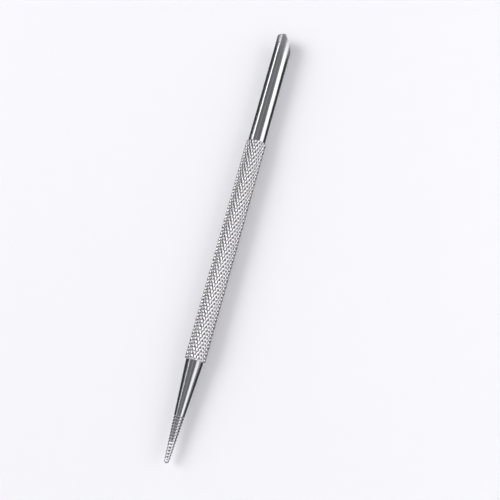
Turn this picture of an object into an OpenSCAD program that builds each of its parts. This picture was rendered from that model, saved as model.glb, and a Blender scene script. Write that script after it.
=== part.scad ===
// Double-ended steel hand tool. A hollow knurled handle holds a round shank,
// cut off at a slant to make a pusher, in one end, and a tapered point with a
// ring-cut file in the other. All three share one axis. Millimetres.
//
// The tool lies along X with its point toward +X, on the plane z = 0, and
// x = 0 is the middle of its length.

/* [Handle] */
// Diameter over the crests of the knurling
grip_d = 6.0; // [5.6:0.1:8]
// Length of the handle
grip_l = 68; // [50:0.5:90]
// Bore of the handle tube, which a tang fills at each end
bore_d = 4.0; // [3:0.1:4.4]
// Chamfer around each end of the handle
grip_chamfer = 0.25; // [0.1:0.05:0.5]

/* [Pusher] */
// Diameter of the round shank
shank_d = 5.2; // [4.6:0.1:5.5]
// Length outside the handle, to the longest point of the cut end
shank_l = 36; // [25:0.5:50]
// Angle between the slanted cut and the axis
cut_angle = 38; // [30:1:60]
// Way that the cut faces, turned about the axis from straight up toward +Y
cut_roll = 134; // [0:1:360]
// Chamfer that takes the sharpness off the longest point
lip_chamfer = 0.3; // [0.1:0.05:0.6]

/* [File point] */
// Diameter of the point where it leaves the handle
point_d = 5.2; // [4.6:0.1:5.5]
// Length outside the handle
point_l = 29; // [22:0.5:40]
// Diameter of the blunt, round tip
tip_d = 1.3; // [0.8:0.1:2]
// Number of ring grooves cut in the file
groove_count = 15; // [8:1:18]
// Distance from one ring groove to the next
groove_pitch = 0.84; // [0.6:0.02:1]
// Width of a ring groove at the surface
groove_w = 0.44; // [0.2:0.02:0.5]
// Depth of a ring groove where the file is thickest
groove_depth = 0.16; // [0.08:0.02:0.24]
// Distance from the tip to the first groove
file_start = 0.9; // [0.8:0.1:2]

/* [Tangs] */
// Length of each tang inside the handle
tang_l = 14; // [8:0.5:20]
// Chamfer that leads a tang into the bore
tang_lead = 0.5; // [0.2:0.1:1]

/* [Hidden] */
$fn = 96;

total_l = shank_l + grip_l + point_l;
pusher_end_x = shank_l - total_l / 2;       // where the pusher meets the handle
point_end_x = pusher_end_x + grip_l;        // where the point meets the handle
axis_z = grip_d / 2;
grip_r = grip_d / 2;
bore_r = bore_d / 2;
shank_r = shank_d / 2;
point_r = point_d / 2;
tip_r = tip_d / 2;
lip_r = shank_r - lip_chamfer;              // where the cut meets the end of the bar
file_l = file_start + groove_count * groove_pitch;
cutter = 4 * shank_d;

// Radius of the tapered point at a distance from its tip
function taper_r(s) = tip_r + (point_r - tip_r) * s / point_l;

// Grooves grow shallower with the taper, down to the tip
function depth_at(s) = groove_depth * taper_r(s) / taper_r(file_l);

// One V-shaped ring groove, as [radius, distance from the tip]
function groove(s) = [
    [taper_r(s), s],
    [taper_r(s + groove_w / 2) - depth_at(s), s + groove_w / 2],
    [taper_r(s + groove_w), s + groove_w],
];

// Stands a shape that is made upward along the axis at a place on the handle
module toward_point(x) {
    translate([x, 0, axis_z])
        rotate([0, 90, 0])
            children();
}

module toward_pusher(x) {
    translate([x, 0, axis_z])
        rotate([0, -90, 0])
            children();
}

// Tang of a working end, reaching down from the end of the handle
module tang() {
    translate([0, 0, -tang_l])
        cylinder(r1 = bore_r - tang_lead, r2 = bore_r, h = tang_lead);
    translate([0, 0, tang_lead - tang_l])
        cylinder(r = bore_r, h = tang_l - tang_lead);
}

// Everything beyond the slanted cut
module slant_cutter() {
    rotate([0, 0, cut_roll])
        translate([-lip_r, 0, shank_l])
            rotate([0, 90 - cut_angle, 0])
                translate([-cutter / 2, -cutter / 2, 0])
                    cube(cutter);
}

module handle_tube() {
    color("silver")
        toward_point(pusher_end_x)
            rotate_extrude()
                polygon([
                    [bore_r, 0],
                    [grip_r - grip_chamfer, 0],
                    [grip_r, grip_chamfer],
                    [grip_r, grip_l - grip_chamfer],
                    [grip_r - grip_chamfer, grip_l],
                    [bore_r, grip_l],
                ]);
}

module pusher_shank() {
    color("gainsboro")
        toward_pusher(pusher_end_x)
            difference() {
                union() {
                    tang();
                    cylinder(r = shank_r, h = shank_l - lip_chamfer);
                    translate([0, 0, shank_l - lip_chamfer])
                        cylinder(r1 = shank_r, r2 = lip_r, h = lip_chamfer);
                }
                slant_cutter();
            }
}

module file_point() {
    grooves = [
        for (i = [0 : groove_count - 1])
            each groove(file_start + i * groove_pitch)
    ];
    color("lightgray")
        toward_point(point_end_x) {
            tang();
            translate([0, 0, point_l])
                mirror([0, 0, 1]) {
                    translate([0, 0, tip_r])
                        sphere(r = tip_r);
                    rotate_extrude()
                        polygon(concat(
                            [[0, tip_r], [taper_r(tip_r), tip_r]],
                            grooves,
                            [[point_r, point_l], [0, point_l]]
                        ));
                }
        }
}

handle_tube();
pusher_shank();
file_point();
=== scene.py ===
"""A slim double-ended steel hand tool: a diamond-knurled handle with a slant-cut pusher in one end and a
tapered, ring-filed point in the other. It lies along X on a pale floor, point toward +X."""

import math

import bmesh
import bpy
from mathutils import Matrix, Vector


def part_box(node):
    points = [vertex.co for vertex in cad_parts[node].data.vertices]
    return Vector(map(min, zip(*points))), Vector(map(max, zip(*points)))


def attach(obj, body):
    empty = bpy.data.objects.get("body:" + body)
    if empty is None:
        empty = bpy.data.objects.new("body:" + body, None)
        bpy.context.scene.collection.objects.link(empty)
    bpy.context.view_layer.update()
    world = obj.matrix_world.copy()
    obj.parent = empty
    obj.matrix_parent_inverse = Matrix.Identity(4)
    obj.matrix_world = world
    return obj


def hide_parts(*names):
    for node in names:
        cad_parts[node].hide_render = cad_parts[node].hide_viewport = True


MM = 0.001

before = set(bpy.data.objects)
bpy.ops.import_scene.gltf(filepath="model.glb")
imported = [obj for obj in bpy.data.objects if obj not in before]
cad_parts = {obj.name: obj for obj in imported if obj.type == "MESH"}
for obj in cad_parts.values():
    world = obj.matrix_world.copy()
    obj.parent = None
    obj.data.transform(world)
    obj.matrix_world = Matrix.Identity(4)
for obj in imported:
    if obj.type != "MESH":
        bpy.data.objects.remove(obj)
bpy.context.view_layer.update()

# ---------------------------------------------------------------- sizes, from the frame

handle_low, handle_high = (Vector(corner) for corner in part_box("handle_tube"))
shank_low, shank_high = (Vector(corner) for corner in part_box("pusher_shank"))
point_low, point_high = (Vector(corner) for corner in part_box("file_point"))

AXIS_Z = (handle_low.z + handle_high.z) / 2
HANDLE_R = (handle_high.z - handle_low.z) / 2
SHANK_R = (shank_high.z - shank_low.z) / 2
POINT_R = (point_high.z - point_low.z) / 2
PUSHER_END = handle_low.x        # where the pusher comes out of the handle
POINT_END = handle_high.x        # where the point comes out of the handle
APEX_X = shank_low.x
TIP_X = point_high.x
TANG_L = shank_high.x - PUSHER_END

# ---------------------------------------------------------------- sizes of the details

BORE_R = 2.0 * MM
TANG_LEAD = 0.5 * MM
HANDLE_CHAMFER = 0.25 * MM

CUT_ANGLE = math.radians(38)     # between the slanted cut and the axis
CUT_ROLL = math.radians(134)     # way that the cut faces, from straight up toward +Y
LIP_CHAMFER = 0.3 * MM
RIM_ROUND = 0.16 * MM

TIP_R = 0.65 * MM
GROOVES = 15
GROOVE_PITCH = 0.84 * MM
GROOVE_W = 0.44 * MM
GROOVE_DEPTH = 0.16 * MM         # of the widest ring, and less in proportion toward the tip
FILE_START = 0.9 * MM

KNURL_STARTS = 17
KNURL_PERIOD = 2.02 * MM         # along the axis, from one diamond to the next in its row
KNURL_DEPTH = 0.28 * MM          # at the corners of the diamonds, where two grooves cross
KNURL_SHARPNESS = 1.6            # 1 gives flat-sided pyramids, 2 gives round pillows
KNURL_STEPS = 3                  # facets from the middle of a diamond to its edge

SIDES = 128
BORE_SIDES = 64
CREASE = math.radians(25)        # edges sharper than this stay crisp


# ---------------------------------------------------------------- modelling by hand

def start_piece():
    """Leaves nothing selected, so that the next primitive stands alone."""
    if bpy.context.object and bpy.context.object.mode != "OBJECT":
        bpy.ops.object.mode_set(mode="OBJECT")
    bpy.ops.object.select_all(action="DESELECT")


def settle(piece, name):
    """Names a piece and moves its place into its mesh."""
    piece.name = name
    piece.data.name = name
    bpy.ops.object.transform_apply(location=True, rotation=True, scale=True)
    return piece


def edit(piece, kind="FACE"):
    """Opens a piece in edit mode, to work on its faces, edges or vertices."""
    bpy.context.view_layer.objects.active = piece
    piece.select_set(True)
    bpy.ops.object.mode_set(mode="EDIT")
    bpy.ops.mesh.select_mode(type=kind)


def choose(piece, kind, wanted):
    """Selects the faces, edges or vertices for which wanted(element) holds, and no others."""
    bpy.ops.mesh.select_all(action="DESELECT")
    mesh = bmesh.from_edit_mesh(piece.data)
    elements = {"VERT": mesh.verts, "EDGE": mesh.edges, "FACE": mesh.faces}[kind]
    for element in elements:
        if wanted(element):
            element.select_set(True)
    mesh.select_flush_mode()
    bmesh.update_edit_mesh(piece.data)


def outward(piece):
    """Drops faces with no area from a closed piece, turns the others outward and leaves edit mode."""
    bpy.ops.mesh.select_all(action="SELECT")
    bpy.ops.mesh.dissolve_degenerate(threshold=0.001 * MM)
    bpy.ops.mesh.select_all(action="SELECT")
    bpy.ops.mesh.normals_make_consistent(inside=False)
    bpy.ops.object.mode_set(mode="OBJECT")
    return piece


def finish_with(piece, kind, **settings):
    """Adds a modifier and applies it."""
    bpy.context.view_layer.objects.active = piece
    modifier = piece.modifiers.new(kind.title(), kind)
    for setting, value in settings.items():
        setattr(modifier, setting, value)
    bpy.ops.object.modifier_apply(modifier=modifier.name)


def turned_bar(name, stations, sides=SIDES):
    """A closed bar turned about the tool's axis, from its (place along X, radius) at each station."""
    start_piece()
    place, radius = stations[0]
    bpy.ops.mesh.primitive_circle_add(
        vertices=sides, radius=radius, fill_type="NGON",
        location=(place, 0, AXIS_Z), rotation=(0, math.pi / 2, 0),
    )
    bar = settle(bpy.context.object, name)
    edit(bar)
    bpy.ops.mesh.select_all(action="SELECT")
    for next_place, next_radius in stations[1:]:
        step = (next_place - place, 0, 0)
        bpy.ops.mesh.extrude_region_move(TRANSFORM_OT_translate={"value": step})
        grow = next_radius / radius
        bpy.ops.transform.resize(value=(1, grow, grow), center_override=(next_place, 0, AXIS_Z))
        place, radius = next_place, next_radius
    return outward(bar)


def arc(centre, radius, first, last, steps):
    """Points (x, r) round an arc, its angles in degrees from the +X way toward outward."""
    x, r = centre
    angles = [math.radians(first + (last - first) * i / steps) for i in range(steps + 1)]
    return [(x + radius * math.cos(a), r + radius * math.sin(a)) for a in angles]


# ---------------------------------------------------------------- pusher

def slanted_cut():
    """A point on the pusher's slanted cut, at its sharp end, and the way that the cut faces."""
    facing = Vector((0, math.sin(CUT_ROLL), math.cos(CUT_ROLL)))
    apex = Vector((APEX_X, 0, AXIS_Z)) - facing * (SHANK_R - LIP_CHAMFER)
    normal = (facing * math.cos(CUT_ANGLE) - Vector((math.sin(CUT_ANGLE), 0, 0))).normalized()
    return apex, normal


def pusher_shank():
    """The round shank with its slanted cut, rounded rim and tang."""
    shank = turned_bar("pusher_shank_polished", [
        (PUSHER_END + TANG_L, BORE_R - TANG_LEAD),
        (PUSHER_END + TANG_L - TANG_LEAD, BORE_R),
        (PUSHER_END, BORE_R),
        (PUSHER_END, SHANK_R),
        (APEX_X + LIP_CHAMFER, SHANK_R),
        (APEX_X, SHANK_R - LIP_CHAMFER),
    ])
    apex, normal = slanted_cut()
    hair = 0.002 * MM
    edit(shank, "EDGE")
    bpy.ops.mesh.select_all(action="SELECT")
    bpy.ops.mesh.bisect(plane_co=apex, plane_no=normal, use_fill=True, clear_outer=True)
    bpy.ops.mesh.remove_doubles(threshold=hair)

    def on_rim(edge):
        return all(abs((v.co - apex).dot(normal)) < hair for v in edge.verts)

    choose(shank, "EDGE", on_rim)
    bpy.ops.mesh.bevel(offset=RIM_ROUND, segments=5, affect="EDGES")
    return outward(shank)


# ---------------------------------------------------------------- file point

def taper_r(from_tip):
    """Radius of the tapered point at a distance from its tip."""
    return TIP_R + (POINT_R - TIP_R) * from_tip / (TIP_X - POINT_END)


def file_point():
    """The tapered point with its ring grooves, round tip and tang."""
    file_l = FILE_START + GROOVES * GROOVE_PITCH
    stations = [
        (POINT_END - TANG_L, BORE_R - TANG_LEAD),
        (POINT_END - TANG_L + TANG_LEAD, BORE_R),
        (POINT_END, BORE_R),
        (POINT_END, POINT_R),
    ]
    for i in reversed(range(GROOVES)):
        near = FILE_START + i * GROOVE_PITCH
        middle = near + GROOVE_W / 2
        far = near + GROOVE_W
        depth = GROOVE_DEPTH * taper_r(near) / taper_r(file_l)
        stations.append((TIP_X - far, taper_r(far)))
        stations.append((TIP_X - middle, taper_r(middle) - depth))
        stations.append((TIP_X - near, taper_r(near)))
    stations += arc((TIP_X - TIP_R, 0), TIP_R, first=86, last=6, steps=10)
    return turned_bar("file_point_polished", stations)


# ---------------------------------------------------------------- knurled handle

def knurl_sink(steps):
    """How far a spot on a diamond lies below its middle, from its steps toward its two edges."""
    return KNURL_DEPTH * sum((step / KNURL_STEPS) ** KNURL_SHARPNESS for step in steps) / 2


def round_off(bar):
    """Moves every point of the bar out to the handle's full radius."""
    bpy.ops.object.mode_set(mode="OBJECT")
    finish_with(
        bar, "CAST", cast_type="CYLINDER", factor=1, use_z=False, use_radius_as_size=False,
        size=HANDLE_R,
    )


def smooth_diamonds():
    """An upright tube of smooth diamonds in crossing rows, each subdivided, and the tube's length."""
    start_piece()
    rows = math.ceil((POINT_END - PUSHER_END) / KNURL_PERIOD) + 2
    length = rows * KNURL_PERIOD
    bpy.ops.mesh.primitive_cylinder_add(
        vertices=KNURL_STARTS, radius=HANDLE_R, depth=length, end_fill_type="NOTHING",
    )
    bar = settle(bpy.context.object, "handle_tube_knurled")
    edit(bar, "EDGE")
    choose(bar, "EDGE", lambda e: abs(e.verts[0].co.z - e.verts[1].co.z) > length / 2)
    bpy.ops.mesh.subdivide(number_cuts=rows - 1)
    bpy.ops.mesh.select_all(action="SELECT")
    bpy.ops.mesh.poke()
    round_off(bar)

    def straight(edge):
        a, b = (v.co for v in edge.verts)
        hardly = 0.1 * MM
        along = (a.xy - b.xy).length < hardly
        around = abs(a.z - b.z) < hardly
        return not edge.is_boundary and (along or around)

    edit(bar, "EDGE")
    choose(bar, "EDGE", straight)
    bpy.ops.mesh.dissolve_edges(use_verts=False)
    bpy.ops.mesh.select_all(action="SELECT")
    bpy.ops.mesh.subdivide(number_cuts=2 * KNURL_STEPS - 1)
    round_off(bar)
    return bar, length


def knurled_bar():
    """A closed solid bar covered in raised diamonds, longer than the handle, along X."""
    bar, length = smooth_diamonds()

    def steps_to_edges(vertex):
        """Steps from the middle of its diamond toward the two grooves, the larger first."""
        x, y, z = vertex.co
        start = math.atan2(-x, y) / math.tau * KNURL_STARTS
        row = (z + length / 2) / KNURL_PERIOD
        grooves = (start + row, start - row)
        steps = (round(abs(groove % 1 - 0.5) * 2 * KNURL_STEPS) for groove in grooves)
        return tuple(sorted(steps, reverse=True))

    edit(bar, "VERT")
    for far in range(KNURL_STEPS + 1):
        for near in range(far + 1):
            choose(bar, "VERT", lambda v: steps_to_edges(v) == (far, near))
            narrow = 1 - knurl_sink((far, near)) / HANDLE_R
            bpy.ops.transform.resize(value=(narrow, narrow, 1), center_override=(0, 0, 0))
    bpy.ops.mesh.select_mode(type="EDGE")
    for end in (-1, 1):
        choose(bar, "EDGE", lambda e: e.is_boundary and e.verts[0].co.z * end > 0)
        bpy.ops.mesh.edge_face_add()
    outward(bar)
    start_piece()
    bar.select_set(True)
    bpy.context.view_layer.objects.active = bar
    bar.rotation_euler = (0, math.pi / 2, 0)
    bar.location = ((POINT_END + PUSHER_END) / 2, 0, AXIS_Z)
    return settle(bar, "handle_tube_knurled")


def knurled_handle():
    """The knurled bar, cut to length, chamfered at both ends and bored through."""
    handle = knurled_bar()
    clear = 0.1 * MM
    overrun = 1 * MM
    blank = turned_bar("blank", [
        (PUSHER_END, HANDLE_R - HANDLE_CHAMFER),
        (PUSHER_END + HANDLE_CHAMFER + clear, HANDLE_R + clear),
        (POINT_END - HANDLE_CHAMFER - clear, HANDLE_R + clear),
        (POINT_END, HANDLE_R - HANDLE_CHAMFER),
    ])
    bore = turned_bar("bore", [(PUSHER_END - overrun, BORE_R), (POINT_END + overrun, BORE_R)], BORE_SIDES)
    finish_with(handle, "BOOLEAN", operation="INTERSECT", object=blank, solver="EXACT")
    finish_with(handle, "BOOLEAN", operation="DIFFERENCE", object=bore, solver="EXACT")
    for tool in (blank, bore):
        bpy.data.objects.remove(tool)
    start_piece()
    edit(handle)
    return outward(handle)


# ---------------------------------------------------------------- shader maths

class Shade:
    """A value in a material's nodes that takes part in Python expressions."""

    def __init__(self, tree, socket=None):
        self.tree = tree
        self.socket = socket

    def node(self, kind, settings=None, sockets=None, output=0):
        """A new node of that kind. Its settings are set first, then its sockets' values or links."""
        made = self.tree.nodes.new(kind)
        for setting, value in (settings or {}).items():
            setattr(made, setting, value)
        for socket, value in (sockets or {}).items():
            if isinstance(value, Shade):
                self.tree.links.new(value.socket, made.inputs[socket])
            else:
                made.inputs[socket].default_value = value
        return Shade(self.tree, made.outputs[output])

    def maths(self, operation, *values):
        return self.node("ShaderNodeMath", {"operation": operation}, dict(enumerate(values)))

    def __add__(self, other):
        return self.maths("ADD", self, other)

    def __sub__(self, other):
        return self.maths("SUBTRACT", self, other)

    def __rsub__(self, other):
        return self.maths("SUBTRACT", other, self)

    def __mul__(self, other):
        return self.maths("MULTIPLY", self, other)

    __radd__ = __add__
    __rmul__ = __mul__


def ramp_up(value, low, high):
    """0 below low, 1 above high, smooth between them."""
    return value.node(
        "ShaderNodeMapRange", {"interpolation_type": "SMOOTHSTEP"},
        {"Value": value, "From Min": low, "From Max": high, "To Min": 0.0, "To Max": 1.0},
    )


def noise(place, size, detail):
    """Even noise from 0 to 1, with grains of that (x, y, z) size in metres."""
    grains = place.node(
        "ShaderNodeMapping", {"vector_type": "TEXTURE"}, {"Vector": place, "Scale": size},
    )
    return place.node(
        "ShaderNodeTexNoise", {"noise_dimensions": "3D"},
        {"Vector": grains, "Scale": 1.0, "Detail": detail, "Roughness": 0.5},
    )


def blend(amount, first, second):
    """One colour turning into another. The node's colours are its inputs 6 and 7 and its output 2."""
    return amount.node(
        "ShaderNodeMix", {"data_type": "RGBA"},
        {0: amount, 6: (*first, 1), 7: (*second, 1)}, output=2,
    )


def relief(height, depth, strength):
    """A normal that follows a height from 0 to 1, worth depth in metres."""
    return height.node(
        "ShaderNodeBump", {}, {"Height": height, "Distance": depth, "Strength": strength},
    )


def split(way):
    """The three parts of a place or a way."""
    parts = way.node("ShaderNodeSeparateXYZ", {}, {"Vector": way})
    return [Shade(way.tree, output) for output in parts.socket.node.outputs]


def from_axis(place):
    """Distance from the tool's axis, in metres."""
    x, y, z = split(place)
    height = z - AXIS_Z
    square = y * y + height * height
    return square.maths("SQRT", square)


def below_taper(place):
    """Depth under the point's straight taper, in metres."""
    x, y, z = split(place)
    narrowing = (POINT_R - TIP_R) / (TIP_X - POINT_END)
    return TIP_R + (TIP_X - x) * narrowing - from_axis(place)


def below_cut(place):
    """Distance from the slanted cut into the shank, in metres."""
    apex, normal = slanted_cut()
    along_normal = place.node(
        "ShaderNodeVectorMath", {"operation": "DOT_PRODUCT"}, {0: place, 1: normal}, output="Value",
    )
    return apex.dot(normal) - along_normal


# ---------------------------------------------------------------- materials

DULL_STEEL = (0.66, 0.67, 0.70)
BRIGHT_STEEL = (0.76, 0.77, 0.79)
POLISH_LINE = 0.12 * MM          # width of a polishing line


def new_material(name):
    """A material and its shader node."""
    material = bpy.data.materials.new(name)
    material.use_nodes = True
    shader = next(n for n in material.node_tree.nodes if n.type == "BSDF_PRINCIPLED")
    return material, shader


def place_on(material):
    """The place on a piece that has the material, in the object's own coordinates."""
    return Shade(material.node_tree).node("ShaderNodeTexCoord", output="Object")


def new_steel(name):
    """A bare metal, its shader node, and the place on the piece."""
    material, shader = new_material(name)
    shader.inputs["Metallic"].default_value = 1.0
    return material, shader, place_on(material)


def wire(shader, **links):
    """Links values into the shader, such as base_color=..."""
    tree = shader.id_data
    for name, value in links.items():
        tree.links.new(value.socket, shader.inputs[name.replace("_", " ").title()])


def polished_steel():
    """Bright polished bar stock, with faint polishing lines along it and a few soft smudges. By the
    slanted cut it is dulled and mottled, from dressing the edge by hand."""
    material, shader, place = new_steel("polished_steel")
    lines = noise(place, (30 * MM, POLISH_LINE, POLISH_LINE), detail=4.0)
    smudges = noise(place, (6 * MM, 2.5 * MM, 2.5 * MM), detail=2.0)
    mottle = ramp_up(noise(place, (0.30 * MM, 0.18 * MM, 0.18 * MM), detail=3.0), 0.35, 0.65)
    dressed = 1 - ramp_up(below_cut(place), 0.4 * MM, 4.5 * MM)
    wire(
        shader,
        base_color=blend(smudges, DULL_STEEL, BRIGHT_STEEL),
        roughness=0.09 + lines * 0.07 + smudges * 0.06 + dressed * (0.16 + mottle * 0.14),
        normal=relief(lines + dressed * mottle, depth=0.003 * MM, strength=0.35),
    )
    return material


def ground_steel():
    """The finely ground face of the slanted cut."""
    material, shader, place = new_steel("ground_steel")
    lines = noise(place, (0.08 * MM, 4 * MM, 4 * MM), detail=4.0)
    wire(
        shader,
        base_color=blend(lines, (0.62, 0.63, 0.65), (0.74, 0.75, 0.77)),
        roughness=0.16 + lines * 0.12,
        normal=relief(lines, depth=0.003 * MM, strength=0.4),
    )
    return material


def filed_steel():
    """Polished steel whose cut grooves are rougher toward the bottom, and darker there as painted shade.
    """
    material, shader, place = new_steel("filed_steel")
    lines = noise(place, (20 * MM, POLISH_LINE, POLISH_LINE), detail=4.0)
    # how deep a spot lies in its groove: it sets the roughness, and the painted shade in the base colour
    sunk_painted_shade = ramp_up(below_taper(place), 0.02 * MM, 0.12 * MM)
    wire(
        shader,
        # base colour: polishing-line grain, plus painted shade darkening the groove bottoms
        base_color=blend(sunk_painted_shade * 0.8 + lines * 0.2, (0.72, 0.73, 0.75), (0.36, 0.35, 0.38)),
        roughness=0.10 + lines * 0.08 + sunk_painted_shade * 0.14,
        normal=relief(lines, depth=0.002 * MM, strength=0.35),
    )
    return material


def knurled_steel():
    """Bright satin diamonds, dulled toward their roots, where painted shade also darkens their colour."""
    material, shader, place = new_steel("knurled_steel")
    # 1 on the crests, 0 at the roots: it sets the roughness, and the painted shade in the base colour
    crest_and_root_shade = ramp_up(from_axis(place), HANDLE_R - 0.8 * KNURL_DEPTH, HANDLE_R - 0.2 * KNURL_DEPTH)
    grain = noise(place, (0.10 * MM, 0.10 * MM, 0.10 * MM), detail=2.0)
    wire(
        shader,
        # base colour darker toward the roots: painted shade
        base_color=blend(crest_and_root_shade, (0.72, 0.71, 0.73), (0.78, 0.77, 0.79)),
        roughness=0.15 - crest_and_root_shade * 0.05 + grain * 0.05,
        normal=relief(grain, depth=0.002 * MM, strength=0.2),
    )
    return material


def clothe(piece, material):
    """Gives a piece its material and smooth turned surfaces with crisp edges."""
    piece.data.materials.clear()
    piece.data.materials.append(material)
    start_piece()
    piece.select_set(True)
    bpy.context.view_layer.objects.active = piece
    bpy.ops.object.shade_smooth_by_angle(angle=CREASE)


def dress_cut(shank):
    """Gives the flat of the slanted cut its ground finish."""
    apex, normal = slanted_cut()
    shank.data.materials.append(ground_steel())
    for face in shank.data.polygons:
        if abs((face.center - apex).dot(normal)) < 0.005 * MM:
            face.material_index = 1


# ---------------------------------------------------------------- the pieces

shank = pusher_shank()
clothe(shank, polished_steel())
dress_cut(shank)
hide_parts("pusher_shank")
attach(shank, "root")

point = file_point()
clothe(point, filed_steel())
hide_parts("file_point")
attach(point, "root")

handle = knurled_handle()
clothe(handle, knurled_steel())
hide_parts("handle_tube")
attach(handle, "root")


# ---------------------------------------------------------------- floor and backdrop

FLOOR_SIZE = 6.0                 # metres, as are the backdrop's sizes and the lights'
FLOOR_NEAR = 0.25                # where the floor starts to turn into the backdrop's glow
FLOOR_FAR = 1.0                  # where it is all glow
FLOOR_COLOUR = (0.87, 0.87, 0.89)
BACKDROP_R = 2.9
BACKDROP_H = 5.0
BACKDROP_SUNK = 0.5              # depth of the backdrop's foot under the floor
BACKDROP_GLOW = (0.90, 0.90, 0.94)
BLACK = (0, 0, 0)


def pale_floor():
    """A pale matt floor that turns into the backdrop's glow far from the tool."""
    start_piece()
    bpy.ops.mesh.primitive_plane_add(size=FLOOR_SIZE, location=(0, 0, handle_low.z))
    floor = bpy.context.object
    floor.name = "floor"
    material, shader = new_material("pale_floor")
    place = place_on(material)
    distance = place.node("ShaderNodeVectorMath", {"operation": "LENGTH"}, {0: place}, output="Value")
    far = ramp_up(distance, FLOOR_NEAR, FLOOR_FAR)
    wire(
        shader,
        base_color=blend(far, FLOOR_COLOUR, BLACK),
        emission_color=blend(far, BLACK, BACKDROP_GLOW),
    )
    shader.inputs["Emission Strength"].default_value = 1.0
    shader.inputs["Roughness"].default_value = 0.8
    floor.data.materials.append(material)
    floor.visible_glossy = False


def pale_backdrop():
    """A round pale wall far behind the tool, which only the camera sees."""
    start_piece()
    bpy.ops.mesh.primitive_cylinder_add(
        vertices=96, radius=BACKDROP_R, depth=BACKDROP_H, end_fill_type="NOTHING",
        location=(0, 0, BACKDROP_H / 2 - BACKDROP_SUNK),
    )
    wall = bpy.context.object
    wall.name = "backdrop"
    material, shader = new_material("pale_backdrop")
    shader.inputs["Base Color"].default_value = (*BLACK, 1)
    shader.inputs["Emission Color"].default_value = (*BACKDROP_GLOW, 1)
    shader.inputs["Emission Strength"].default_value = 1.0
    wall.data.materials.append(material)
    wall.visible_glossy = False
    wall.visible_diffuse = False
    wall.visible_shadow = False


# ---------------------------------------------------------------- light

TO_RIGHT = 1                     # lights placed toward +Y
TO_LEFT = -1                     # lights placed toward -Y

TENT_TINT = (1.0, 0.985, 1.03)
TENT_LEVEL = 0.05                # brightness of the whole light tent, to which its parts add
ABOVE_HORIZON = 0.13
PAST_POINT = 1.35
PAST_POINT_DIMMED = 0.9          # taken off it far past the point, on the left
PAST_PUSHER_RIGHT = 0.4
PAST_PUSHER_ABOVE = 0.04
LOW_PAST_PUSHER = 0.9
STRAIGHT_DOWN = 0.9
RIGHT_SHARE = 0.5                # share taken off the light past the point, on the right
LOWER_SHARE = 0.45               # share taken off it near the horizon and below


def softbox(name, from_zenith, toward, middle, width, length, strength, distance=0.5):
    """A rectangular light along the tool, placed round its axis by its angle in degrees from straight
    up toward +Y or -Y, with its middle at a place along X."""
    lean = math.radians(from_zenith)
    out = Vector((0, toward * math.sin(lean), math.cos(lean)))
    along = Vector((1, 0, 0))
    data = bpy.data.lights.new(name, "AREA")
    data.shape = "RECTANGLE"
    data.size = length
    data.size_y = width
    data.energy = strength * math.pi * width * length
    light = bpy.data.objects.new(name, data)
    bpy.context.scene.collection.objects.link(light)
    turn = Matrix((along, out.cross(along), out)).transposed().to_4x4()
    light.matrix_world = Matrix.Translation(out * distance + along * middle) @ turn
    return light


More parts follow.
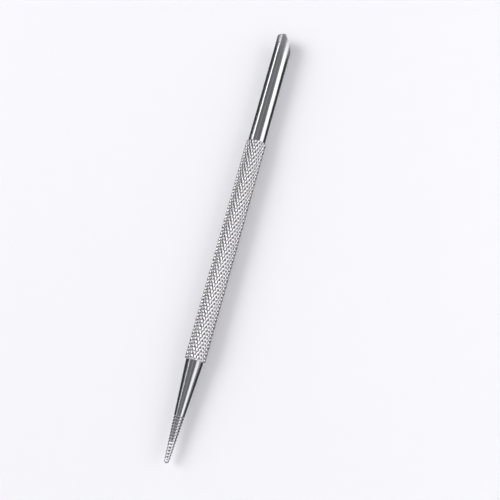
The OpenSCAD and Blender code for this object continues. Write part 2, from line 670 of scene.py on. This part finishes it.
def studio_air():
    """A light tent, made by the direction in which it is seen from the tool: dim round the tool's
    middle, bright past its point and straight down, and softer past its pusher."""
    world = bpy.data.worlds.new("studio")
    bpy.context.scene.world = world
    world.use_nodes = True
    tree = world.node_tree
    background = next(n for n in tree.nodes if n.type == "BACKGROUND")
    way = Shade(tree).node("ShaderNodeTexCoord", output="Generated")
    along, side, height = split(way)

    right = ramp_up(side, -0.1, 0.5)
    above = ramp_up(height, -0.10, 0.10)
    lower_half = 1 - ramp_up(height, 0.0, 0.3)
    round_middle = TENT_LEVEL + above * ABOVE_HORIZON

    past_point = ramp_up(along, 0.15, 0.25) * (1 - right * RIGHT_SHARE)
    far_left = ramp_up(along, 0.5, 0.8) * (1 - right)
    ahead = past_point * (PAST_POINT - far_left * PAST_POINT_DIMMED) * (1 - lower_half * LOWER_SHARE)

    past_pusher = 1 - ramp_up(along, -0.62, -0.48)
    straight_behind = 1 - ramp_up(along, -0.93, -0.85)
    low = ramp_up(height, -0.50, -0.35) * (1 - ramp_up(height, -0.15, -0.05))
    behind = past_pusher * (right * PAST_PUSHER_RIGHT + above * PAST_PUSHER_ABOVE)
    low_behind = straight_behind * low * LOW_PAST_PUSHER

    beneath = 1 - ramp_up(height, -0.95, -0.75)
    level = round_middle + ahead + behind + low_behind + beneath * STRAIGHT_DOWN
    tent = way.node("ShaderNodeVectorMath", {"operation": "SCALE"}, {0: TENT_TINT, "Scale": level})
    tree.links.new(tent.socket, background.inputs["Color"])


def studio_lights():
    """Soft boxes along the tool, which its steel shows as stripes, and a key light that it doesn't."""
    softbox(
        "broad_right", from_zenith=62, toward=TO_RIGHT, middle=-0.225,
        width=0.46, length=0.45, strength=1.3,
    )
    softbox(
        "narrow_left", from_zenith=68, toward=TO_LEFT, middle=-0.225,
        width=0.09, length=0.45, strength=2.6,
    )
    softbox(
        "point_right", from_zenith=46, toward=TO_RIGHT, middle=0.105,
        width=0.36, length=0.19, strength=1.1,
    )
    softbox(
        "point_left", from_zenith=66, toward=TO_LEFT, middle=0.105,
        width=0.06, length=0.19, strength=1.4,
    )
    softbox(
        "overhead", from_zenith=16, toward=TO_LEFT, middle=-0.1,
        width=0.16, length=1.2, strength=0.12, distance=0.8,
    )
    softbox(
        "low_left", from_zenith=86, toward=TO_LEFT, middle=-0.135,
        width=0.2, length=0.16, strength=2.5,
    )
    key = softbox(
        "key_from_left", from_zenith=50, toward=TO_LEFT, middle=0.15,
        width=1.2, length=1.2, strength=8.7, distance=2.7,
    )
    key.visible_glossy = False


# ---------------------------------------------------------------- camera

def camera():
    """Looks down on the tool from over its point, turned so that the tool leans."""
    aim = Vector((1.94, 6.66, 3.0)) * MM
    distance = 301.5 * MM
    rise = math.radians(74.23)
    roll = math.radians(15.39)
    toward_camera = Vector((math.cos(rise), 0, math.sin(rise)))
    right = Vector((0, 1, 0))
    up = toward_camera.cross(right)
    turn = Matrix((right, up, toward_camera)).transposed().to_4x4() @ Matrix.Rotation(roll, 4, "Z")
    data = bpy.data.cameras.new("camera")
    data.lens = 75
    data.sensor_width = 36
    data.clip_start = 0.01
    eye = bpy.data.objects.new("camera", data)
    bpy.context.scene.collection.objects.link(eye)
    eye.matrix_world = Matrix.Translation(aim + toward_camera * distance) @ turn
    bpy.context.scene.camera = eye


pale_floor()
pale_backdrop()
studio_air()
studio_lights()
camera()
bpy.context.scene.view_settings.view_transform = "Standard"
